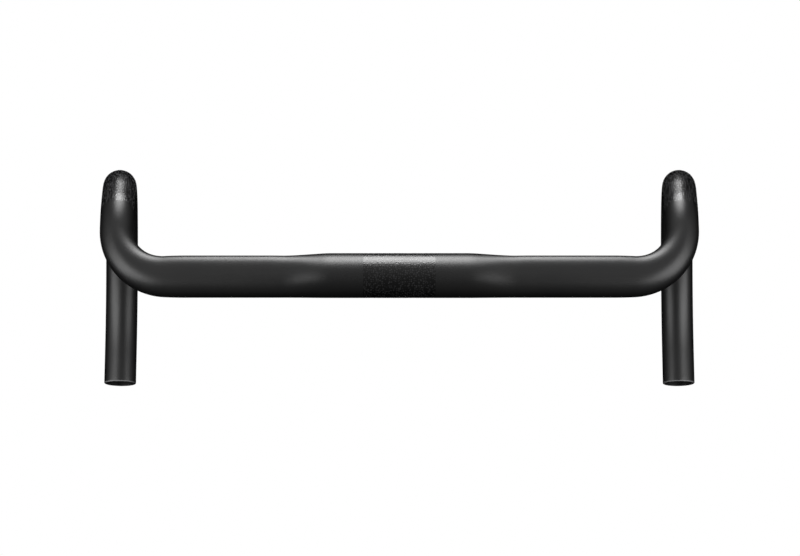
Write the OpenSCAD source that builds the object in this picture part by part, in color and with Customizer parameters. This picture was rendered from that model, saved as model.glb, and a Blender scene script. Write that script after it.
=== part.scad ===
// Compact drop handlebar, moulded composite, bare (no tape, levers or end plugs).
// Frame: origin at the centre of the stem clamp zone, +X to the rider's right,
// +Y forward, +Z up. All lengths in millimetres, all angles in degrees.
// The bar is a centre section and two drop sections, joined on bonded oval sleeves.
// The right-hand side is modelled and mirrored for the left.

/* [Overall] */
// Centre-to-centre width at the open drop ends
bar_width = 420; // [400:5:440]
// Outward lean of each drop, seen from behind
flare_angle = 3.6; // [0:0.2:8]
// Downward slope of the short ramp behind each hook
ramp_slope = 6; // [4:0.5:8]

/* [Clamp zone] */
// Outside diameter of the round stem clamp zone
clamp_diameter = 31.8; // [31.6:0.1:31.8]
// Length of the round clamp zone
clamp_length = 96; // [80:2:96]
// Wall thickness of the moulding in the clamp zone
clamp_wall = 1.8; // [1.6:0.1:2.2]
// Thickness of the reinforcement layer inside the clamp zone
reinforcement_wall = 1.0; // [0.8:0.1:1.4]
// Length of the reinforcement layer
reinforcement_length = 84; // [60:2:90]
// Length of the textured stem grip band
stem_band_length = 51; // [40:1:60]
// Thickness of the textured stem grip band
stem_band_thickness = 0.3; // [0.2:0.05:0.4]

/* [Wing tops] */
// Fore-and-aft depth of the oval tops
wing_depth = 29.5; // [28:0.5:30]
// Height of the oval tops
wing_height = 24; // [22:0.5:25]
// Distance from the middle at which the oval reaches its full size
wing_start = 84; // [76:1:90]
// Rearward offset of the oval tops from the clamp axis
wing_back = 0.7; // [0:0.1:0.8]
// Downward offset of the oval tops from the clamp axis
wing_low = 1.4; // [0:0.1:1.6]
// Wall thickness of the oval tops
wing_wall = 1.6; // [1.4:0.1:2.0]
// Fullness of the oval's front half (2 is a plain ellipse, more is squarer)
front_fullness = 3.2; // [2:0.1:3.6]
// Fullness of the oval's rear half
rear_fullness = 2.2; // [2:0.1:3.2]

/* [Bonded joints] */
// Distance from the middle to each joint between centre and drop sections
joint_position = 118; // [112:1:122]
// Length of each internal joint sleeve
sleeve_length = 32; // [24:1:36]
// Wall thickness of each joint sleeve
sleeve_wall = 1.2; // [1.0:0.1:1.6]
// Thickness of the adhesive film round each sleeve
film_thickness = 0.3; // [0.25:0.05:0.4]

/* [Bends and drops] */
// Outside diameter of the round ramps and drops
tube_diameter = 23.8; // [23.6:0.1:24.2]
// Wall thickness of the ramps and drops
tube_wall = 1.7; // [1.5:0.1:2.0]
// Centreline radius of the outer bends
bend_radius = 36; // [34:1:38]
// Length over which the oval narrows before the bend
taper_lead = 14; // [8:1:16]
// Straight length of ramp after the bend
ramp_length = 2; // [1:0.2:4]
// Centreline radius of the upper curve into the lever seat
upper_radius = 32; // [28:1:36]
// Straight length of the lever clamp seat
seat_length = 14; // [12:1:18]
// Centreline radius of the front of the hook
hook_radius = 46; // [40:1:50]
// Centreline radius of the lower curve
lower_radius = 136; // [120:2:150]
// Straight length at each open drop end
end_length = 24; // [20:1:34]
// Thickness of the textured lever grip bands
lever_band_thickness = 0.3; // [0.25:0.05:0.4]
// Chamfer inside the rim of each open end
end_chamfer = 0.3; // [0.2:0.05:0.5]
// Rounding of the outer edge of the rim
rim_round = 0.8; // [0.4:0.1:0.9]

/* [Hidden] */

$fn = 96;
corners = 48;         // corners round each lofted section
shoulder_steps = 14;  // stations along the changing part of each shoulder
bend_steps = 26;      // intervals along each taper and outer bend

// how the overlapping pieces of one moulding meet
loft_reach = 0.8;     // how far a loft runs into the tube it meets
loft_inset = 0.08;    // how far a loft's faces stay inside that tube's wall
wall_step = 0.05;     // difference in wall, on each face, between neighbouring tube pieces
tube_reach = 0.1;     // how far a tube piece runs inside its neighbour's wall

square_lag = 8;       // the section squares up this much farther out than it changes size
upper_turn = acos(0.8);  // turn of the upper curve, a 3-4-5 angle
hook_turn = 90;
lower_turn = 45;
band_upper_turn = 13.2;  // turn of the upper curve covered by the lever grip band
band_hook_turn = 45;     // turn of the hook covered by the lever grip band

carbon_colour = [0.045, 0.046, 0.05];
grip_colour = [0.08, 0.08, 0.085];
reinforcement_colour = [0.1, 0.1, 0.11];
sleeve_colour = [0.12, 0.12, 0.13];
film_colour = [0.55, 0.5, 0.35];

// radii of the round parts
clamp_r = clamp_diameter / 2;
clamp_bore_r = clamp_r - clamp_wall;
tube_r = tube_diameter / 2;
bore_r = tube_r - tube_wall;
recess_r = tube_r - lever_band_thickness;  // tube under the lever grip band

half_clamp = clamp_length / 2;
half_stem_band = stem_band_length / 2;

// half sizes of the sections, [fore-and-aft, height]
round_out = [clamp_r, clamp_r];
round_in = [clamp_bore_r, clamp_bore_r];
wing_out = [wing_depth, wing_height] / 2;
wing_in = wing_out - [wing_wall, wing_wall];
tube_out = [tube_r, tube_r];
tube_in = [bore_r, bore_r];

// ---- small helpers
function unit(v) = v / norm(v);
function mix(a, b, t) = a + (b - a) * t;
// smooth rise from 0 to 1
function ease(t) = let (u = min(1, max(0, t))) u * u * (3 - 2 * u);

// ---- the plane the right-hand drop lies in
plane_forward = [0, 1, 0];
plane_up = [-sin(flare_angle), 0, cos(flare_angle)];
plane_normal = cross(plane_forward, plane_up);
// direction of a path sloping down by the given angle, and the direction it curves towards
function heading(slope) = plane_forward * cos(slope) - plane_up * sin(slope);
function inward(slope) = -(plane_forward * sin(slope) + plane_up * cos(slope));

// ---- centreline path, from the outer bend to the open end
ramp_dir = heading(ramp_slope);
bend_turn = acos(ramp_dir[0]);
bend_in = unit([0, ramp_dir[1], ramp_dir[2]]);
seat_slope = ramp_slope + upper_turn;
lower_slope = seat_slope + hook_turn;
end_slope = lower_slope + lower_turn;

// drop within the plane, from the ramp's start to the open end
function line_drop(length, slope) = length * sin(slope);
function arc_drop(radius, from, to) = radius * (cos(from) - cos(to));
in_plane_drop = line_drop(ramp_length, ramp_slope)
    + arc_drop(upper_radius, ramp_slope, seat_slope)
    + line_drop(seat_length, seat_slope)
    + arc_drop(hook_radius, seat_slope, lower_slope)
    + arc_drop(lower_radius, lower_slope, end_slope)
    + line_drop(end_length, end_slope);

// flare alone carries the path outward from the ramp's start to the open end
ramp_x = bar_width / 2 - in_plane_drop * sin(flare_angle);
bend_x = ramp_x - bend_radius * sin(bend_turn);
taper_x = bend_x - taper_lead;
bend_arc = bend_radius * bend_turn * PI / 180;
narrowing_length = taper_lead + bend_arc;

bend_centre = [bend_x, -wing_back, -wing_low] + bend_in * bend_radius;
function bend_point(turn) =
    bend_centre + bend_radius * ([sin(turn), 0, 0] - bend_in * cos(turn));
upper_start = bend_point(bend_turn) + ramp_dir * ramp_length;
seat_start = upper_start + upper_radius * (inward(ramp_slope) - inward(seat_slope));

// ---- sections and lofts
// outline point at an angle, for half sizes [x, y]. ovalness runs from 0, elliptical,
// to 1, full oval. The front half is the one with positive x.
function outline(half, angle, ovalness) =
    let (fullness = mix(2, cos(angle) > 0 ? front_fullness : rear_fullness, ovalness),
         power = 2 / fullness)
    [half[0] * sign(cos(angle)) * pow(abs(cos(angle)), power),
     half[1] * sign(sin(angle)) * pow(abs(sin(angle)), power)];

function oval(half) = [for (i = [0:corners - 1]) outline(half, 360 * i / corners, 1)];

// four corners as two triangles
function quad(a, b, c, d) = [[a, b, c], [a, c, d]];

// tube lofted through stations, each
// [centre, side axis, up axis, outer half sizes, inner half sizes, ovalness]
module loft(stations) {
    last = len(stations) - 1;
    // skin 0 is the outside, skin 1 the bore
    function id(row, skin, i) = (row * 2 + skin) * corners + (i % corners);
    points = [for (s = stations) for (half = [s[3], s[4]]) for (i = [0:corners - 1])
        let (p = outline(half, 360 * i / corners, s[5]))
        s[0] + s[1] * p[0] + s[2] * p[1]];
    faces = [for (i = [0:corners - 1]) each concat(
        [for (r = [0:last - 1]) each concat(
            quad(id(r, 0, i), id(r + 1, 0, i), id(r + 1, 0, i + 1), id(r, 0, i + 1)),
            quad(id(r, 1, i), id(r, 1, i + 1), id(r + 1, 1, i + 1), id(r + 1, 1, i)))],
        quad(id(0, 0, i), id(0, 0, i + 1), id(0, 1, i + 1), id(0, 1, i)),
        quad(id(last, 0, i), id(last, 1, i), id(last, 1, i + 1), id(last, 0, i + 1)))];
    polyhedron(points = points, faces = faces, convexity = 6);
}

// ---- shoulder: the round clamp zone grows into the oval tops, as far as the joint
function shoulder_station(x) =
    let (span = wing_start - half_clamp,
         t = ease((x - half_clamp) / span),
         inset = loft_inset * (1 - t) * [1, 1])
    [[x, -wing_back * t, -wing_low * t], [0, 1, 0], [0, 0, 1],
     mix(round_out, wing_out, t) - inset, mix(round_in, wing_in, t) + inset,
     ease((x - half_clamp - square_lag) / span)];

module shoulder() {
    change_end = wing_start + square_lag;
    loft([shoulder_station(half_clamp - loft_reach),
          for (i = [0:shoulder_steps - 1])
              shoulder_station(mix(half_clamp, change_end, (i + 0.5) / shoulder_steps)),
          shoulder_station(change_end),
          shoulder_station(joint_position)]);
}

// ---- outer bend: the oval narrows to the round ramp while the path turns forward
// travel is the distance along the path from the start of the taper
function bend_station(travel) =
    let (turn = min(bend_turn, max(0, (travel - taper_lead) / bend_arc * bend_turn)),
         t = ease(travel / narrowing_length),
         inset = loft_inset * t * [1, 1],
         past_bend = max(0, travel - narrowing_length),
         centre = travel < taper_lead
             ? [taper_x + travel, -wing_back, -wing_low]
             : bend_point(turn) + ramp_dir * past_bend,
         along = [cos(turn), 0, 0] + bend_in * sin(turn),
         side = unit(cross([0, 0, 1], along)))
    [centre, side, cross(along, side),
     mix(wing_out, tube_out, t) - inset, mix(wing_in, tube_in, t) + inset, 1 - t];

module outer_bend()
    loft([bend_station(joint_position - taper_x),
          for (i = [0:bend_steps]) bend_station(narrowing_length * i / bend_steps),
          bend_station(narrowing_length + ramp_length + loft_reach)]);

// ---- tube pieces. Local +X follows the path, +Y is the outside of the curve.
module straight(length, outer_r, inner_r)
    rotate([0, 90, 0]) linear_extrude(length) difference() {
        circle(r = outer_r);
        circle(r = inner_r);
    }

// before and after are the lengths added at the two ends to run inside the neighbours' walls
module curve(radius, turn, outer_r, inner_r, before = 0, after = 0) {
    turn_before = before / radius * 180 / PI;
    turn_after = after / radius * 180 / PI;
    translate([0, -radius, 0])
        rotate([0, 0, 90 - turn - turn_after])
            rotate_extrude(angle = turn_before + turn + turn_after)
                translate([radius, 0]) difference() {
                    circle(r = outer_r);
                    circle(r = inner_r);
                }
}

// ring round the clamp axis, from x0 to x1
module clamp_ring(x0, x1, outer_r, inner_r)
    translate([x0, 0, 0]) straight(x1 - x0, outer_r, inner_r);

// oval ring on the wing's axis, centred on the right-hand joint
module joint_ring(outer, wall)
    translate([joint_position - sleeve_length / 2, -wing_back, -wing_low])
        rotate([90, 0, 90]) linear_extrude(sleeve_length) difference() {
            polygon(oval(outer));
            polygon(oval(outer - [wall, wall]));
        }

// ---- moves along the path
module step_on(length) translate([length, 0, 0]) children();

module turn_on(radius, turn)
    translate([0, -radius, 0]) rotate([0, 0, -turn]) translate([0, radius, 0]) children();

// to the start of the lever seat, in the plane of the drop
module at_seat() {
    along = heading(seat_slope);
    outside = -inward(seat_slope);
    multmatrix([for (i = [0:2]) [along[i], outside[i], plane_normal[i], seat_start[i]],
                [0, 0, 0, 1]]) children();
}

module left() mirror([1, 0, 0]) children();

// ---- right-hand drop
// Where two pieces meet, the one with the thinner wall runs inside the thicker one.
module drop_tube()
    at_seat() {
        // upper curve, from the ramp down to the band
        turn_on(upper_radius, -upper_turn)
            curve(upper_radius, upper_turn - band_upper_turn,
                  tube_r - wall_step, bore_r + wall_step);
        // from here to the hook the wall is recessed for the lever grip band
        turn_on(upper_radius, -band_upper_turn)
            curve(upper_radius, band_upper_turn,
                  recess_r - wall_step, bore_r + 2 * wall_step, tube_reach, tube_reach);
        straight(seat_length, recess_r, bore_r);
        step_on(seat_length) {
            curve(hook_radius, band_hook_turn,
                  recess_r - wall_step, bore_r + 3 * wall_step, tube_reach, tube_reach);
            // rest of the hook at full diameter
            turn_on(hook_radius, band_hook_turn)
                curve(hook_radius, hook_turn - band_hook_turn,
                      tube_r - 2 * wall_step, bore_r + 2 * wall_step, after = tube_reach);
            turn_on(hook_radius, hook_turn) {
                curve(lower_radius, lower_turn,
                      tube_r - wall_step, bore_r + wall_step, after = tube_reach);
                turn_on(lower_radius, lower_turn) open_end();
            }
        }
    }

// straight end, its rim rounded outside in two flats and chamfered inside
module open_end() {
    flat_cut = rim_round * (1 - cos(45));  // depth of the corner between the two flats
    rotate([0, 90, 0]) rotate_extrude()
        polygon([[bore_r, 0],
                 [tube_r, 0],
                 [tube_r, end_length - rim_round],
                 [tube_r - flat_cut, end_length - flat_cut],
                 [tube_r - rim_round, end_length],
                 [bore_r + end_chamfer, end_length],
                 [bore_r, end_length - end_chamfer]]);
}

module drop() {
    outer_bend();
    drop_tube();
}

// the curved parts are thinner than the straight part and run inside it
module lever_band() {
    outer_r = tube_r - wall_step;
    inner_r = recess_r + wall_step;
    at_seat() {
        turn_on(upper_radius, -band_upper_turn)
            curve(upper_radius, band_upper_turn, outer_r, inner_r, after = tube_reach);
        straight(seat_length, tube_r, recess_r);
        step_on(seat_length)
            curve(hook_radius, band_hook_turn, outer_r, inner_r, before = tube_reach);
    }
}

module sleeve() joint_ring(wing_in - [film_thickness, film_thickness], sleeve_wall);
module film() joint_ring(wing_in, film_thickness);

// ---- nodes
module centre_section() color(carbon_colour) {
    clamp_ring(-half_clamp, -half_stem_band, clamp_r, clamp_bore_r);
    // recessed under the stem grip band
    clamp_ring(-half_stem_band, half_stem_band, clamp_r - stem_band_thickness, clamp_bore_r);
    clamp_ring(half_stem_band, half_clamp, clamp_r, clamp_bore_r);
    shoulder();
    left() shoulder();
}

module clamp_reinforcement() color(reinforcement_colour)
    clamp_ring(-reinforcement_length / 2, reinforcement_length / 2,
               clamp_bore_r, clamp_bore_r - reinforcement_wall);

module stem_grip_band() color(grip_colour)
    clamp_ring(-half_stem_band, half_stem_band, clamp_r, clamp_r - stem_band_thickness);

module left_drop_section() color(carbon_colour) left() drop();
module right_drop_section() color(carbon_colour) drop();
module left_joint_sleeve() color(sleeve_colour) left() sleeve();
module right_joint_sleeve() color(sleeve_colour) sleeve();
module left_bond_film() color(film_colour) left() film();
module right_bond_film() color(film_colour) film();
module left_lever_grip_band() color(grip_colour) left() lever_band();
module right_lever_grip_band() color(grip_colour) lever_band();

centre_section();
clamp_reinforcement();
stem_grip_band();
left_drop_section();
right_drop_section();
left_joint_sleeve();
right_joint_sleeve();
left_bond_film();
right_bond_film();
left_lever_grip_band();
right_lever_grip_band();
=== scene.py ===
"""Looks of a bare drop handlebar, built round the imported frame.

Blender works in metres, +X right, +Y forward, +Z up. The clamp is centred on the origin with its
axis along X. The wings run out from it, then the drops bend forward and curl down and back.
Sizes of the bar are in millimetres. Sizes of the stage are in metres.
"""
import math
from collections import namedtuple

import bpy
import numpy as np
from mathutils import Matrix, Vector


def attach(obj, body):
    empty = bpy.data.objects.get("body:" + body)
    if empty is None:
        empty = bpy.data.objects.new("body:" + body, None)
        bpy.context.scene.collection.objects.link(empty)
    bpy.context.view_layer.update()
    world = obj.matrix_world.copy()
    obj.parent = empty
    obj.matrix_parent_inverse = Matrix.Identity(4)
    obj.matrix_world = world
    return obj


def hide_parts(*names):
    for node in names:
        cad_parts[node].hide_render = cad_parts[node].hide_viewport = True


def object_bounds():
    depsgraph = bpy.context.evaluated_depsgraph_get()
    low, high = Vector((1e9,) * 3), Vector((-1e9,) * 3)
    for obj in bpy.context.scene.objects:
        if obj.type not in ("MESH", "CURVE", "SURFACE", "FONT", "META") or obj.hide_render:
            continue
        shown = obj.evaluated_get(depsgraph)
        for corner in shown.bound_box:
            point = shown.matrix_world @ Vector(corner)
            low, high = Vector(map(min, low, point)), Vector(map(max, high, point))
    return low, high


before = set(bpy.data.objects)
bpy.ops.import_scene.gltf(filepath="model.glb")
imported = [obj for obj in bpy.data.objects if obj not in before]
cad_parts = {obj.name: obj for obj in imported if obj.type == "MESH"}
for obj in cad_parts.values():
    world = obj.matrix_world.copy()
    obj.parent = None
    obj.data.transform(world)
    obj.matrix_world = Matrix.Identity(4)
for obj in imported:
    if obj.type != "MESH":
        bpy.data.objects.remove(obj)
cad_lo, cad_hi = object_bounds()
scene = bpy.context.scene
MM = 0.001

# ------------------------------------------------------------------ design sizes, millimetres
CLAMP_RADIUS, HALF_CLAMP, CLAMP_WALL = 15.9, 48.0, 1.8
STEM_BAND_HALF, STEM_BAND_DEPTH = 25.5, 0.3
WING = (14.75, 12.0)              # half depth and half height
WING_WALL = 1.6
WING_START = 84.0                 # where the wing has its full size
WING_BACK, WING_LOW = 0.7, 1.4    # the wing's centre, behind and below the clamp's
OVAL_LAG = 8.0                    # the oval outline sets in this much later than the size
OVAL_FRONT, OVAL_REAR = 3.2, 2.2  # exponents of the oval, where 2 is an ellipse
JOINT_X = 118.0                   # where the centre section meets the drops
TUBE_RADIUS, BORE_RADIUS = 11.9, 10.2
LEAD = 14.0                       # straight between the wing and the bend
BEND_RADIUS = 36.0
RAMP, UPPER_RADIUS, SEAT, HOOK_RADIUS, LOWER_RADIUS, END = 2.0, 32.0, 14.0, 46.0, 136.0, 24.0
LEVER_BAND_DEPTH = 0.3
LEVER_BAND_LEAD = math.radians(13.2)  # the band starts this far before the end of the upper curve
RIM_OUTER, RIM_INNER = 0.8, 0.3   # roundings at the open end
HALF_WIDTH = 210.0                # from the middle to the tip's centre
FLARE, SLOPE = math.radians(3.6), math.radians(6.0)
UPPER_TURN = math.acos(0.8)
TUBE_CORNERS, STEM_BAND_CORNERS, LEVER_BAND_CORNERS = 160, 400, 300

# raised dots of the grip bands
DOT_PITCH, DOT_RADIUS = 1.6, 0.58
DOT_SCALE = (0.55, 1.15)          # smallest and largest share of the radius
DOT_SHIFT, DOT_MISSING = 0.36, 0.16
DOT_HEIGHT, GROUND_DEPTH = 0.075, 0.035
BAND_FADE = 0.5                   # the dots fade out over this length at a band's ends


def vec(*parts):
    return np.array(parts, float)


def unit(v):
    return v / np.linalg.norm(v)


def ease(t):
    t = np.clip(t, 0.0, 1.0)
    return t * t * (3 - 2 * t)


def spread(marks, steps):
    """Values that hit every mark, with one spacing for each stretch between marks."""
    values = []
    for begin, end, step in zip(marks, marks[1:], steps):
        count = max(1, int(math.ceil((end - begin) / step)))
        values += [begin + (end - begin) * k / count for k in range(count)]
    return values + [marks[-1]]


# ------------------------------------------------------------------ centreline of the right side
X, Y, Z = vec(1, 0, 0), vec(0, 1, 0), vec(0, 0, 1)
PLANE_UP = vec(-math.sin(FLARE), 0, math.cos(FLARE))  # up in the drop's flared plane
PLANE_OUT = np.cross(Y, PLANE_UP)


def heading(pitch):
    """Direction in the drop's plane, pitched down from straight ahead."""
    return Y * math.cos(pitch) - PLANE_UP * math.sin(pitch)


def inward(pitch):
    """Direction from the centreline to the centre of its curve."""
    return -(Y * math.sin(pitch) + PLANE_UP * math.cos(pitch))


SEAT_PITCH = SLOPE + UPPER_TURN
LOWER_PITCH, END_PITCH = SEAT_PITCH + math.pi / 2, SEAT_PITCH + 0.75 * math.pi

# length, radius (0 is straight), pitch at the start and at the end
DROP_PIECES = (
    (RAMP, 0, SLOPE, SLOPE),
    (UPPER_RADIUS * UPPER_TURN, UPPER_RADIUS, SLOPE, SEAT_PITCH),
    (SEAT, 0, SEAT_PITCH, SEAT_PITCH),
    (HOOK_RADIUS * math.pi / 2, HOOK_RADIUS, SEAT_PITCH, LOWER_PITCH),
    (LOWER_RADIUS * math.pi / 4, LOWER_RADIUS, LOWER_PITCH, END_PITCH),
    (END, 0, END_PITCH, END_PITCH),
)
drop_fall = 0.0
for length, radius, pitch, end_pitch in DROP_PIECES:
    if radius:
        drop_fall += radius * (math.cos(pitch) - math.cos(end_pitch))
    else:
        drop_fall += length * math.sin(pitch)

RAMP_DIR = heading(SLOPE)
BEND_TURN = math.acos(RAMP_DIR[0])
BEND_IN = unit(RAMP_DIR - vec(RAMP_DIR[0], 0, 0))
BEND_X = HALF_WIDTH - drop_fall * math.sin(FLARE) - BEND_RADIUS * math.sin(BEND_TURN)
LEAD_X = BEND_X - LEAD
BEND_CENTRE = vec(BEND_X, -WING_BACK, -WING_LOW) + BEND_IN * BEND_RADIUS

# each mark is the distance from the joint at which that piece of the centreline starts
LENGTHS = [LEAD_X - JOINT_X, LEAD, BEND_RADIUS * BEND_TURN] + [piece[0] for piece in DROP_PIECES]
MARKS = np.concatenate([[0.0], np.cumsum(LENGTHS)])
AT_LEAD, AT_BEND, AT_RAMP, AT_UPPER, AT_SEAT, AT_HOOK, AT_LOWER, AT_END, AT_TIP = MARKS[1:]
AT_BAND = AT_SEAT - UPPER_RADIUS * LEVER_BAND_LEAD
AT_BAND_END = AT_HOOK + HOOK_RADIUS * math.pi / 4

# the section's axes keep a constant twist against the drop's plane once the bend is over
ramp_side = unit(np.cross(Z, RAMP_DIR))
TWIST_OUT, TWIST_IN = float(ramp_side @ -PLANE_OUT), float(ramp_side @ -inward(SLOPE))


def along_bend(distance):
    """Point and direction in the bend from wing to ramp."""
    angle = distance / BEND_RADIUS
    point = BEND_CENTRE + BEND_RADIUS * (X * math.sin(angle) - BEND_IN * math.cos(angle))
    return point, X * math.cos(angle) + BEND_IN * math.sin(angle)


def along_piece(start, pitch, radius, distance):
    """Point and pitch, some distance into a piece of the drop."""
    if not radius:
        return start + heading(pitch) * distance, pitch
    new_pitch = pitch + distance / radius
    return start + radius * (inward(pitch) - inward(new_pitch)), new_pitch


drop_path = []  # mark, starting point, starting pitch and radius of each piece
point = along_bend(BEND_RADIUS * BEND_TURN)[0]
for mark, (length, radius, pitch, _) in zip(MARKS[3:], DROP_PIECES):
    drop_path.append((mark, point, pitch, radius))
    point = along_piece(point, pitch, radius, length)[0]


def centreline(distance):
    """(point, direction, side axis, up axis), some distance from the joint."""
    if distance <= AT_BEND:
        return vec(JOINT_X + distance, -WING_BACK, -WING_LOW), X, Y, Z
    if distance <= AT_RAMP:
        point, along = along_bend(distance - AT_BEND)
        side = unit(np.cross(Z, along))
    else:
        mark, start, pitch, radius = [piece for piece in drop_path if piece[0] < distance][-1]
        point, pitch = along_piece(start, pitch, radius, distance - mark)
        along = heading(pitch)
        side = TWIST_OUT * -PLANE_OUT + TWIST_IN * -inward(pitch)
    return point, along, side, np.cross(along, side)


# ------------------------------------------------------------------ sections along the bar
# run: length used for textures. depth, height: half sizes. oval: 0 is an ellipse, 1 the full oval.
Station = namedtuple("Station", "run centre along side up depth height oval")


def sizes(radius, inner, wing_share):
    """Half depth and half height, between a round section and the wing."""
    wing = [half - WING_WALL if inner else half for half in WING]
    return [radius + (half - radius) * wing_share for half in wing]


def centre_station(x, inner=False):
    blend_length = WING_START - HALF_CLAMP
    share = ease((abs(x) - HALF_CLAMP) / blend_length)
    oval = ease((abs(x) - HALF_CLAMP - OVAL_LAG) / blend_length)
    radius = CLAMP_RADIUS - CLAMP_WALL if inner else CLAMP_RADIUS
    centre = vec(x, -WING_BACK * share, -WING_LOW * share)
    return Station(x, centre, X, Y, Z, *sizes(radius, inner, share), oval)


def drop_station(distance, inner=False):
    share = 1.0 - ease((distance - AT_LEAD) / (AT_RAMP - AT_LEAD))
    radius = BORE_RADIUS if inner else TUBE_RADIUS
    return Station(JOINT_X + distance, *centreline(distance), *sizes(radius, inner, share), share)


def resized(station, radius):
    return station._replace(depth=radius, height=radius)


def ring(station):
    """Outline of a tube's section."""
    angle = np.linspace(0, 2 * math.pi, TUBE_CORNERS, endpoint=False)
    cos, sin = np.cos(angle), np.sin(angle)
    power = 2.0 + station.oval * (np.where(cos > 0, OVAL_FRONT, OVAL_REAR) - 2.0)
    reach = (abs(cos) ** power + abs(sin) ** power) ** (-1.0 / power)
    return (station.centre + np.outer(station.depth * reach * cos, station.side)
            + np.outer(station.height * reach * sin, station.up))


# ------------------------------------------------------------------ mesh making
def make(name, rings, runs, materials, ring_slots=None, mirror=False, sharp=38):
    """A closed mesh from rings, each joined to the next and the last to the first.

    runs gives each ring's length for the UV map. mirror makes the left-hand piece.
    """
    count = len(rings[0])
    verts = np.concatenate(rings) * MM
    faces = []
    for r in range(len(rings)):
        here, there = r * count, (r + 1) % len(rings) * count
        for i in range(count):
            j = (i + 1) % count
            faces.append((here + i, here + j, there + j, there + i))
    if mirror:
        verts[:, 0] *= -1
        faces = [face[::-1] for face in faces]
    mesh = bpy.data.meshes.new(name)
    mesh.from_pydata(verts.tolist(), [], faces)
    mesh.update()

    # u is tenths of a metre along, v is turns around
    layer = mesh.uv_layers.new(name="UVMap")
    corners = np.zeros(len(mesh.loops), np.int32)
    mesh.loops.foreach_get("vertex_index", corners)
    uv = np.array([(run * MM * 10, i / count) for run in runs for i in range(count)])[corners]
    # faces that cross the seam get the far side's v moved on by one turn
    turns = uv.reshape(-1, 4, 2)[:, :, 1]
    crossing = np.ptp(turns, axis=1, keepdims=True) > 0.5
    turns[crossing & (turns < 0.5)] += 1.0
    layer.data.foreach_set("uv", uv.astype(np.float32).ravel())

    for material in materials:
        mesh.materials.append(material)
    if ring_slots is not None:
        slots = np.repeat(np.array(ring_slots, np.int32), count)
        mesh.polygons.foreach_set("material_index", slots)
    mesh.polygons.foreach_set("use_smooth", np.ones(len(mesh.polygons), bool))
    mesh.set_sharp_from_angle(angle=math.radians(sharp))
    mesh.update()
    obj = bpy.data.objects.new(name, mesh)
    scene.collection.objects.link(obj)
    return obj


def register(obj, node_name):
    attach(obj, "root")
    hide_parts(node_name)


def lip(station, width, angle, growth):
    """A station moved round a lip's quarter circle. growth is -1 outside and 1 inside."""
    reach = width * math.sin(angle)
    change = growth * width * (1 - math.cos(angle))
    return station._replace(run=station.run + reach, centre=station.centre + station.along * reach,
                            depth=station.depth + change, height=station.height + change)


OUTER_SLOT, INNER_SLOT, EDGE_SLOT, RIM_SLOT = range(4)


def tube(name, node_name, outer, inner, materials, rims=False, mirror=False):
    """A walled tube from its outer and inner stations. rims rounds the open end."""
    wall = [(station, OUTER_SLOT) for station in outer]
    if rims:
        # the rounded outer edge, then the trimmed face and the eased inner edge
        for k in range(1, 9):
            rounded = lip(outer[-1], RIM_OUTER, k / 8 * math.pi / 2, -1)
            wall.append((rounded, RIM_SLOT if k < 8 else EDGE_SLOT))
        for k in range(4, 0, -1):
            wall.append((lip(inner[-1], RIM_INNER, k / 4 * math.pi / 2, 1), EDGE_SLOT))
    wall += [(station, INNER_SLOT) for station in reversed(inner)]

    ring_slots = []
    for i, (_, slot) in enumerate(wall):
        pair = {slot, wall[(i + 1) % len(wall)][1]}
        cut = EDGE_SLOT in pair or pair == {OUTER_SLOT, INNER_SLOT}
        ring_slots.append(EDGE_SLOT if cut else slot)
    rings = [ring(station) for station, _ in wall]
    runs = [station.run for station, _ in wall]
    obj = make(name, rings, runs, materials, ring_slots, mirror)
    register(obj, node_name)


# ------------------------------------------------------------------ shader graphs
class Graph:
    """An emptied node tree, with short ways to add and join nodes."""

    def __init__(self, owner):
        owner.use_nodes = True
        self.tree = owner.node_tree
        self.tree.nodes.clear()

    def set(self, node, inputs):
        """Links the inputs given as sockets and sets the others."""
        for key, value in inputs.items():
            if isinstance(value, bpy.types.NodeSocket):
                self.tree.links.new(value, node.inputs[key])
            else:
                node.inputs[key].default_value = value

    def add(self, kind, inputs=None, **settings):
        node = self.tree.nodes.new("ShaderNode" + kind)
        for key, value in settings.items():
            setattr(node, key, value)
        self.set(node, inputs or {})
        return node

    def calc(self, operation, *values):
        return self.add("Math", dict(enumerate(values)), operation=operation).outputs[0]

    def remap(self, value, span=(0.3, 0.7), to=(0, 1)):
        """Carries the span over to another one, clamped at both ends."""
        return self.add("MapRange", {"Value": value, "From Min": span[0], "From Max": span[1],
                                     "To Min": to[0], "To Max": to[1]}).outputs[0]

    def split(self, vector):
        return self.add("SeparateXYZ", {0: vector}).outputs


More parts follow.
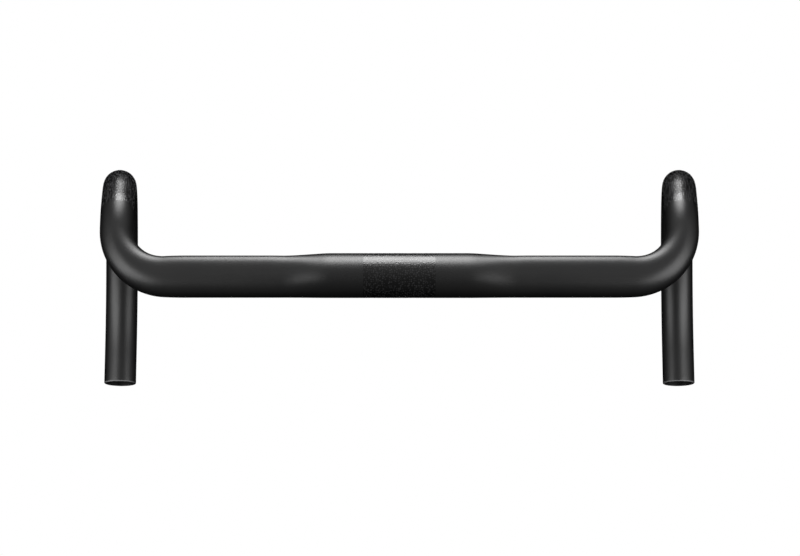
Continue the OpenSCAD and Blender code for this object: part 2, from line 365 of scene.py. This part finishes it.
class Surface(Graph):
    """A material with one principled shader, textured in object space."""

    def __init__(self, name):
        self.material = bpy.data.materials.new(name)
        super().__init__(self.material)
        self.shader = self.add("BsdfPrincipled")
        self.add("OutputMaterial", {"Surface": self.shader.outputs[0]})
        self.place = self.add("TexCoord").outputs["Object"]

    def noise(self, scale, detail, roughness=0.5, distortion=0.0, place=None):
        return self.add("TexNoise", {"Vector": place or self.place, "Scale": scale,
                                     "Detail": detail, "Roughness": roughness,
                                     "Distortion": distortion}).outputs[0]

    def vary(self, base, texture, amount):
        """Adds a texture to a value, swinging up to the amount either way."""
        swing = self.remap(texture, to=(-1, 1))
        return self.calc("ADD", base, self.calc("MULTIPLY", swing, amount))

    def mix(self, factor, *colours):
        """Mixes two colours, each an RGB tuple or a socket."""
        first, second = [(*c, 1.0) if isinstance(c, tuple) else c for c in colours]
        # inputs 6 and 7 and output 2 are the colour sockets of the node
        return self.add("Mix", {0: factor, 6: first, 7: second}, data_type="RGBA").outputs[2]

    def bump(self, height, strength, distance, normal=None):
        inputs = {"Height": height, "Strength": strength, "Distance": distance}
        if normal is not None:
            inputs["Normal"] = normal
        return self.add("Bump", inputs).outputs[0]

    def dark_rims(self):
        """Takes the gloss out of a surface seen edge on, as black flags do in a studio."""
        facing = self.add("LayerWeight", {"Blend": 0.5}).outputs["Facing"]
        gloss = self.remap(facing, span=(0.42, 0.80), to=(0.5, 0.0))
        self.set(self.shader, {"Specular IOR Level": gloss})

    def finish(self, colour, roughness, normal, extra=None):
        self.set(self.shader, {"Base Color": colour, "Roughness": roughness, "Normal": normal,
                               **(extra or {})})
        return self.material


# ------------------------------------------------------------------ materials
def satin_skin():
    """Satin black lacquer: fine orange peel, faintly cloudy gloss, hairline handling marks."""
    s = Surface("satin_black_skin")
    cloud = s.noise(scale=22, detail=4, roughness=0.55)
    fine = s.noise(scale=950, detail=3, roughness=0.6)
    peel = s.noise(scale=420, detail=2, roughness=0.45)
    tone = s.mix(s.remap(cloud, span=(0.35, 0.7)),
                 (0.0050, 0.0051, 0.0054), (0.0062, 0.0061, 0.0060))
    # long thin handling marks, stretched along the bar
    stretched = s.add("Mapping", {"Vector": s.place, "Scale": (18, 160, 160)}).outputs[0]
    scratches = s.noise(scale=3.0, detail=6, roughness=0.7, distortion=0.4, place=stretched)
    marks = s.remap(scratches, span=(0.62, 0.74))
    rough = s.vary(s.remap(cloud, to=(0.405, 0.44)), fine, amount=0.03)
    rough = s.calc("ADD", rough, s.calc("MULTIPLY", marks, -0.06))
    peel_bump = s.bump(peel, strength=0.30, distance=0.00008)
    normal = s.bump(fine, strength=0.35, distance=0.00003, normal=peel_bump)
    s.dark_rims()
    return s.finish(tone, rough, normal, {"IOR": 1.5})


def grip_skin(name, crown):
    """Anti-slip coat with dots. Their crowns have the given brightness and are polished."""
    s = Surface(name)
    dot = s.add("Attribute", attribute_name="dot").outputs["Fac"]
    grain = s.noise(scale=1500, detail=3, roughness=0.65)
    patch = s.noise(scale=60, detail=3)
    colour = s.mix(dot, (0.0015, 0.0015, 0.0016), (crown, crown, crown * 1.03))
    rough = s.vary(s.remap(dot, span=(0, 1), to=(0.34, 0.22)), grain, amount=0.05)
    rough = s.vary(rough, patch, amount=0.02)
    s.dark_rims()
    return s.finish(colour, rough, s.bump(grain, strength=0.25, distance=0.00004), {"IOR": 1.52})


# tows in a tenth of a metre along, and in one turn around
TOWS_ALONG, TOWS_AROUND = 72.0, 44.0


def twill(s, along, around):
    """2x2 twill: (height, 1 where a lengthwise tow is on top and 0 elsewhere)."""
    cells, tow_heights = [], []
    for position, tows in ((along, TOWS_ALONG), (around, TOWS_AROUND)):
        scaled = s.calc("MULTIPLY", position, tows)
        cell = s.calc("FLOOR", scaled)
        offset = s.calc("SUBTRACT", s.calc("SUBTRACT", scaled, cell), 0.5)
        # rounded across the tow, 3.2 sets how steeply it falls off
        fall = s.calc("MULTIPLY", s.calc("MULTIPLY", offset, offset), 3.2)
        cells.append(cell)
        tow_heights.append(s.calc("SUBTRACT", 1.0, fall))
    # the pattern repeats every 4 cells, and 4000 keeps the count above zero
    count = s.calc("ADD", s.calc("ADD", *cells), 4000.0)
    over = s.calc("LESS_THAN", s.calc("MODULO", count, 4.0), 1.5)
    lengthwise = s.calc("MULTIPLY", over, tow_heights[1])
    crosswise = s.calc("MULTIPLY", s.calc("SUBTRACT", 1.0, over), tow_heights[0])
    return s.calc("ADD", lengthwise, crosswise), over


def laminate(name, crosswise, lengthwise, roughness, gloss, around_x=False):
    """Bare cured laminate: woven tows of two colours under thin resin, with fibre streaks.

    around_x wraps the weave round the X axis, for pieces without a UV map.
    """
    s = Surface(name)
    if around_x:
        x, y, z = s.split(s.place)
        turn = s.calc("DIVIDE", s.calc("ARCTAN2", y, z), 2 * math.pi)
        uv = s.add("CombineXYZ", {0: s.calc("MULTIPLY", x, 10.0), 1: turn}).outputs[0]
    else:
        uv = s.add("TexCoord").outputs["UV"]
    along, around, _ = s.split(uv)
    height, over = twill(s, along, around)
    streak = s.noise(scale=1600, detail=2, roughness=0.6)
    rough = s.remap(over, span=(0, 1), to=(roughness, roughness + 0.1))
    weave_bump = s.bump(height, strength=0.35, distance=0.00012)
    return s.finish(s.mix(over, crosswise, lengthwise),
                    s.vary(rough, streak, amount=0.05),
                    s.bump(streak, strength=0.2, distance=0.00002, normal=weave_bump),
                    {"Specular IOR Level": gloss})


def cut_edge():
    """Trimmed rim of an open end: plies seen edge on, sealed with a thin lacquer."""
    s = Surface("trimmed_edge")
    plies = s.noise(scale=2400, detail=2, roughness=0.7)
    return s.finish(s.mix(s.remap(plies, span=(0.35, 0.65)),
                          (0.012, 0.012, 0.0125), (0.040, 0.040, 0.042)),
                    s.remap(plies, to=(0.45, 0.6)),
                    s.bump(plies, strength=0.3, distance=0.00003),
                    {"Specular IOR Level": 0.1})


def rim_painted_highlight():
    """Rounded outer edge of an open end, with a painted highlight: its upward-facing side is
    coloured light grey, broken up by noise.
    """
    s = Surface("rim_painted_highlight")
    rub_and_highlight_noise = s.noise(scale=300, detail=4, roughness=0.6)
    # painted highlight: the upward-facing part of the rounded edge gets a light grey colour in
    # place of a reflection
    normal_z = s.split(s.add("NewGeometry").outputs["Normal"])[2]
    upper = s.remap(normal_z, span=(0.0, 0.5))
    amount = s.calc("MULTIPLY", upper, s.remap(rub_and_highlight_noise, to=(0.75, 1)))
    return s.finish(s.mix(amount, (0.005, 0.005, 0.0054), (0.22, 0.22, 0.223)),
                    s.remap(rub_and_highlight_noise, to=(0.38, 0.5)),
                    s.bump(rub_and_highlight_noise, strength=0.3, distance=0.00003))


def adhesive():
    """Cured structural paste: warm, slightly translucent, with small voids."""
    s = Surface("cured_adhesive")
    cells = s.add("TexVoronoi", {"Vector": s.place, "Scale": 900})
    solid = s.remap(cells.outputs["Distance"], span=(0.05, 0.25))
    cloud = s.noise(scale=120, detail=4, roughness=0.6)
    paste = s.mix(s.remap(cloud), (0.30, 0.26, 0.17), (0.38, 0.34, 0.24))
    return s.finish(s.mix(solid, (0.16, 0.13, 0.08), paste),
                    s.remap(cloud, to=(0.38, 0.55)),
                    s.bump(solid, strength=0.4, distance=0.00005),
                    {"Subsurface Weight": 0.1, "Subsurface Scale": 0.001})


SKIN = satin_skin()
GRIP = grip_skin("grip_speckle", crown=0.070)
STEM_GRIP = grip_skin("stem_grip_speckle", crown=0.028)
INNER = laminate("inner_laminate", crosswise=(0.0028, 0.0028, 0.0030),
                 lengthwise=(0.0070, 0.0070, 0.0074), roughness=0.50, gloss=0.16)
LAYER = laminate("reinforcement_laminate", crosswise=(0.016, 0.016, 0.017),
                 lengthwise=(0.030, 0.030, 0.033), roughness=0.40, gloss=0.5, around_x=True)
EDGE = cut_edge()
RIM = rim_painted_highlight()
GLUE = adhesive()


# ------------------------------------------------------------------ tubes
def centre_section():
    """Clamp and both wings, with a shallow recess round the middle for the stem's grip band."""
    right = spread([STEM_BAND_HALF, HALF_CLAMP, WING_START + OVAL_LAG, JOINT_X], [4.0, 1.0, 5.0])
    core = CLAMP_RADIUS - STEM_BAND_DEPTH
    outer = [centre_station(-x) for x in reversed(right)]
    outer += [resized(centre_station(x), core) for x in (-STEM_BAND_HALF, STEM_BAND_HALF)]
    outer += [centre_station(x) for x in right]
    bore = spread([-JOINT_X, -WING_START - OVAL_LAG, -HALF_CLAMP,
                   HALF_CLAMP, WING_START + OVAL_LAG, JOINT_X], [6, 2, 12, 2, 6])
    inner = [centre_station(x, inner=True) for x in bore]
    tube("centre_tube", "centre_section", outer, inner, [SKIN, INNER, EDGE])


def drop_section(side, mirror):
    """From the joint to the tip, with a shallow recess for the lever's grip band."""
    before = spread([0, AT_LEAD, AT_RAMP, AT_UPPER, AT_BAND], [5, 0.9, 0.7, 0.8])
    recess = spread([AT_BAND, AT_SEAT, AT_HOOK, AT_BAND_END], [0.8, 2.8, 1.1])
    after = spread([AT_BAND_END, AT_LOWER, AT_END, AT_TIP - RIM_OUTER], [0.9, 1.3, 3.0])
    bore = spread([0, AT_LEAD, AT_RAMP, AT_UPPER, AT_SEAT, AT_HOOK, AT_LOWER, AT_END,
                   AT_TIP - RIM_INNER], [6, 2, 1.4, 1.6, 5, 1.8, 2.6, 4])
    outer = [drop_station(d) for d in before]
    outer += [resized(drop_station(d), TUBE_RADIUS - LEVER_BAND_DEPTH) for d in recess]
    outer += [drop_station(d) for d in after]
    inner = [drop_station(d, inner=True) for d in bore]
    tube(side + "_drop_tube", side + "_drop_section", outer, inner,
         [SKIN, INNER, EDGE, RIM], rims=True, mirror=mirror)


centre_section()
drop_section("right", mirror=False)
drop_section("left", mirror=True)


# ------------------------------------------------------------------ grip bands with raised dots
def dots(along, around, turn, seed):
    """Height from 0 to 1 of scattered round dots. around wraps at turn."""
    rng = np.random.RandomState(seed)
    columns = int(round(turn / DOT_PITCH))
    column_pitch = turn / columns
    rows = int(math.ceil((along.max() - along.min()) / DOT_PITCH)) + 3
    origin = along.min() - DOT_PITCH
    grid = (rows, columns)
    shift_along = rng.uniform(-DOT_SHIFT, DOT_SHIFT, grid)
    shift_around = rng.uniform(-DOT_SHIFT, DOT_SHIFT, grid)
    radius = rng.uniform(*DOT_SCALE, grid) * DOT_RADIUS
    kept = rng.uniform(0, 1, grid) > DOT_MISSING
    row = np.floor((along - origin) / DOT_PITCH).astype(int)
    column = np.floor(around / column_pitch).astype(int)
    height = np.zeros_like(along)
    for row_step in (-1, 0, 1):
        for column_step in (-1, 0, 1):
            i = np.clip(row + row_step, 0, rows - 1)
            j = (column + column_step) % columns
            dot_along = origin + (i + 0.5 + shift_along[i, j]) * DOT_PITCH
            dot_around = (column + column_step + 0.5 + shift_around[i, j]) * column_pitch
            away = np.hypot(along - dot_along, around - dot_around) / radius[i, j]
            # flat on top out to a quarter of the radius, then down to the ground
            height = np.maximum(height, np.where(kept[i, j], np.clip(1.25 - away, 0, 1), 0))
    return ease(height)


def band(name, node_name, stations, radius, depth, corners, seed, material, mirror=False):
    """A thin shell, dotted outside, whose ends close onto the tube's recess."""
    runs = np.array([station.run for station in stations])
    angle = np.linspace(0, 2 * math.pi, corners, endpoint=False)
    along, angles = np.meshgrid(runs, angle, indexing="ij")
    height = dots(along, angles * radius, 2 * math.pi * radius, seed)
    height *= np.clip(np.minimum(along - runs[0], runs[-1] - along) / BAND_FADE, 0, 1)

    def circle(station, reach):
        return (station.centre + (reach * np.cos(angle))[:, None] * station.side
                + (reach * np.sin(angle))[:, None] * station.up)

    # the inner face runs back on every sixth station
    back = [stations[-1], *reversed(stations[6::6]), stations[0]]
    rings = [circle(station, radius - GROUND_DEPTH + DOT_HEIGHT * row)
             for station, row in zip(stations, height)]
    rings += [circle(station, radius - depth) for station in back]
    all_runs = [*runs, *(station.run for station in back)]
    obj = make(name, rings, all_runs, [material], mirror=mirror, sharp=60)
    attribute = obj.data.attributes.new("dot", "FLOAT", "POINT")
    values = np.concatenate([height.ravel(), np.zeros(len(back) * corners)])
    attribute.data.foreach_set("value", values.astype(np.float32))
    register(obj, node_name)


stem_stations = [centre_station(x) for x in np.linspace(-STEM_BAND_HALF, STEM_BAND_HALF, 205)]
band("stem_grip", "stem_grip_band", stem_stations, CLAMP_RADIUS, STEM_BAND_DEPTH,
     STEM_BAND_CORNERS, seed=11, material=STEM_GRIP)
lever_marks = spread([AT_BAND, AT_SEAT, AT_HOOK, AT_BAND_END], [0.25, 0.25, 0.25])
lever_stations = [drop_station(distance) for distance in lever_marks]
for side, seed, mirror in (("right", 23, False), ("left", 37, True)):
    band(side + "_lever_grip", side + "_lever_grip_band", lever_stations, TUBE_RADIUS,
         LEVER_BAND_DEPTH, LEVER_BAND_CORNERS, seed, GRIP, mirror)

# ------------------------------------------------------------------ CAD pieces kept, inside the bar
for name, material in (("clamp_reinforcement", LAYER),
                       ("left_joint_sleeve", LAYER), ("right_joint_sleeve", LAYER),
                       ("left_bond_film", GLUE), ("right_bond_film", GLUE)):
    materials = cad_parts[name].data.materials
    materials.clear()
    materials.append(material)

# ------------------------------------------------------------------ stage, metres
WHITE = (1.0, 1.0, 1.0, 1.0)
FLOOR_HALF, FLOOR_GAP = 6, 0.004
# strength of the sky's even part, of its lobe, and of its rise towards the top
SKY_BASE, SKY_LOBE, SKY_UP = 0.080, 0.286, 0.005
LOBE_FORWARD, LOBE_WIDTH = 0.32, 0.45


def stage_floor():
    """A white floor, seen only by the camera and only from above. It lights nothing."""
    mesh = bpy.data.meshes.new("floor")
    corners = [(x * FLOOR_HALF, y * FLOOR_HALF, cad_lo.z - FLOOR_GAP)
               for x, y in ((-1, -1), (1, -1), (1, 1), (-1, 1))]
    mesh.from_pydata(corners, [], [(0, 1, 2, 3)])
    obj = bpy.data.objects.new("floor", mesh)
    scene.collection.objects.link(obj)
    material = bpy.data.materials.new("floor_white")
    g = Graph(material)
    glow = g.add("Emission", {"Color": WHITE, "Strength": 1.0}).outputs[0]
    clear = g.add("BsdfTransparent").outputs[0]
    below = g.add("NewGeometry").outputs["Backfacing"]
    mixed = g.add("MixShader", {0: below, 1: glow, 2: clear}).outputs[0]
    g.add("OutputMaterial", {"Surface": mixed})
    material.cycles.emission_sampling = "NONE"
    mesh.materials.append(material)
    obj.visible_glossy = False
    obj.visible_diffuse = False
    obj.visible_shadow = False


def studio_world():
    """White to the camera. To all else a dim room, lit from above and ahead, black below."""
    world = bpy.data.worlds.new("studio")
    scene.world = world
    g = Graph(world)
    _, y, z = g.split(g.add("TexCoord").outputs["Generated"])
    off = g.calc("DIVIDE", g.calc("SUBTRACT", y, LOBE_FORWARD), LOBE_WIDTH)
    bell = g.calc("POWER", math.e, g.calc("MULTIPLY", g.calc("MULTIPLY", off, off), -1.0))
    lobe = g.calc("MULTIPLY", bell, g.remap(z, span=(-0.2, 0.8), to=(0, SKY_LOBE)))
    rise = g.remap(z, span=(0, 1), to=(0, SKY_UP))
    base = g.remap(z, span=(-0.25, 0.05), to=(0, SKY_BASE))
    strength = g.calc("ADD", g.calc("ADD", lobe, rise), base)
    room = g.add("Background", {"Color": WHITE, "Strength": strength}).outputs[0]
    backdrop = g.add("Background", {"Color": WHITE}).outputs[0]
    to_camera = g.add("LightPath").outputs["Is Camera Ray"]
    mixed = g.add("MixShader", {0: to_camera, 1: room, 2: backdrop}).outputs[0]
    g.add("OutputWorld", {"Surface": mixed})


def softbox(name, place, aim, width, height, radiance, roll=0.0, spread_deg=180):
    """A rectangular softbox at place, facing aim. Width runs level, then is turned by roll.

    A spread under 180 degrees dims it off axis.
    """
    half = math.radians(spread_deg) / 2
    gain = 1.0 if spread_deg >= 180 else (math.tan(half) - half) / math.tan(half)
    light = bpy.data.lights.new(name, "AREA")
    light.shape = "RECTANGLE"
    light.size, light.size_y = width, height
    light.energy = radiance * math.pi * width * height * gain
    light.spread = math.radians(spread_deg)
    obj = bpy.data.objects.new(name, light)
    scene.collection.objects.link(obj)
    obj.location = Vector(place)
    facing = (Vector(aim) - Vector(place)).normalized()
    across = facing.cross(Vector((0, 0, 1))).normalized()
    up = across.cross(facing)
    x_axis = across * math.cos(roll) + up * math.sin(roll)
    y_axis = up * math.cos(roll) - across * math.sin(roll)
    obj.rotation_mode = "QUATERNION"
    obj.rotation_quaternion = Matrix((x_axis, y_axis, -facing)).transposed().to_quaternion()
    obj.visible_camera = False
    return obj


KEY_ELEVATION, KEY_DISTANCE = math.radians(12.5), 0.769


def lights():
    key_place = (0, KEY_DISTANCE * math.cos(KEY_ELEVATION), KEY_DISTANCE * math.sin(KEY_ELEVATION))
    softbox("key_front", key_place, aim=(0, 0, 0), width=0.535, height=0.711,
            radiance=15.6, spread_deg=80)
    for sign, name in ((-1, "side_left"), (1, "side_right")):
        softbox(name, (sign * 0.898, -0.253, 0.334), aim=(sign * 0.599, -0.178, -0.289),
                width=0.481, height=1.096, radiance=5.2, roll=-sign * 0.053, spread_deg=161)
    # a matte fill from below: it shows the underside's form and isn't mirrored in the rims
    under = softbox("under_fill", (0, 0.001, -1.2), aim=(0, 0, 0), width=1.0, height=1.0,
                    radiance=5.0)
    under.visible_glossy = False


CAMERA_ELEVATION, CAMERA_DISTANCE = math.radians(76), 1.920
AIM_RIGHT, AIM_DOWN = 0.000447, 0.001716  # the aim's offset from the clamp's centre, in the view
SENSOR_WIDTH, LENS = 36.0, 121.84992      # millimetres


def camera():
    """Looks steeply down from behind the bar."""
    data = bpy.data.cameras.new("camera")
    obj = bpy.data.objects.new("camera", data)
    scene.collection.objects.link(obj)
    look = Vector((0, math.cos(CAMERA_ELEVATION), -math.sin(CAMERA_ELEVATION)))
    view_up = Vector((0, math.sin(CAMERA_ELEVATION), math.cos(CAMERA_ELEVATION)))
    target = Vector((AIM_RIGHT, 0, 0)) - view_up * AIM_DOWN
    obj.location = target - look * CAMERA_DISTANCE
    obj.rotation_mode = "QUATERNION"
    obj.rotation_quaternion = look.to_track_quat("-Z", "Y")
    data.sensor_fit = "HORIZONTAL"
    data.sensor_width = SENSOR_WIDTH
    data.lens = LENS
    data.clip_start, data.clip_end = 0.05, 50
    scene.camera = obj


stage_floor()
studio_world()
lights()
camera()
scene.view_settings.view_transform = "Standard"
scene.view_settings.look = "None"
